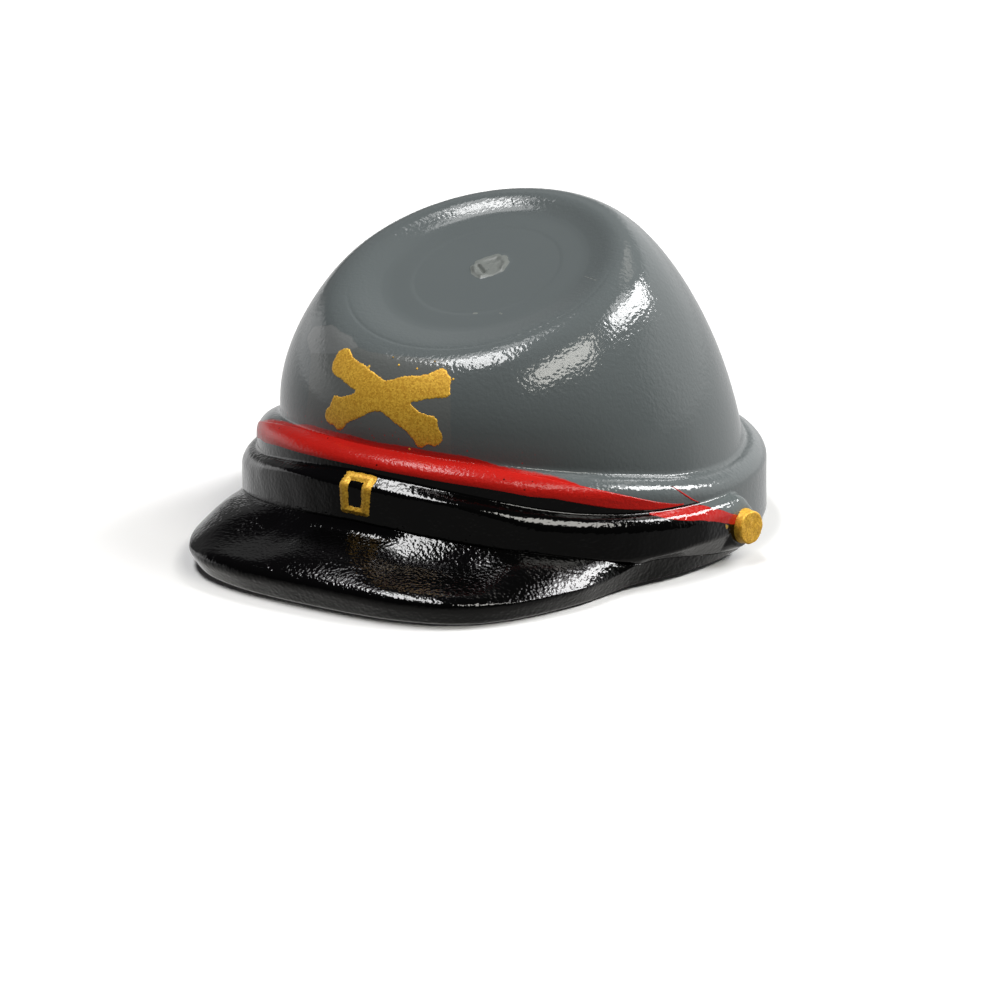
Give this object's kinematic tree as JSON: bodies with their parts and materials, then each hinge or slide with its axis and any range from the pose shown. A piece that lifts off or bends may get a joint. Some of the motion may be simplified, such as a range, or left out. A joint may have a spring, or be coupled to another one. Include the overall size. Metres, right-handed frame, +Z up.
{
  "type": "toy figure kepi cap",
  "caption": "Small moulded kepi for a toy figure, with a sunk tilted top, piping, chin strap, peak, buckle, side buttons and crossed cannons.",
  "frame": {"origin": "on the floor under the middle of the bounding box, with the cap resting on the tip of its peak and the back of its rim", "axes": "-Y the way the peak points, +X the wearer's left, +Z up; the rim plane leans back by 0.9 degrees"},
  "size_m": [0.0142, 0.0152, 0.0081],
  "materials": {
    "grey_plastic": "moulded slate grey plastic with a faint orange-peel gloss",
    "red_paint": "glossy red paint",
    "black_paint": "glossy black paint with orange peel",
    "gold_paint": "grainy gold paint"
  },
  "bodies": {
    "root": {"crown": "grey_plastic", "piping": "red_paint", "chin_strap": "black_paint", "peak": "black_paint", "buckle": "gold_paint", "button_left": "gold_paint", "button_right": "gold_paint", "cannon_badge": "gold_paint"}
  },
  "joints": []
}
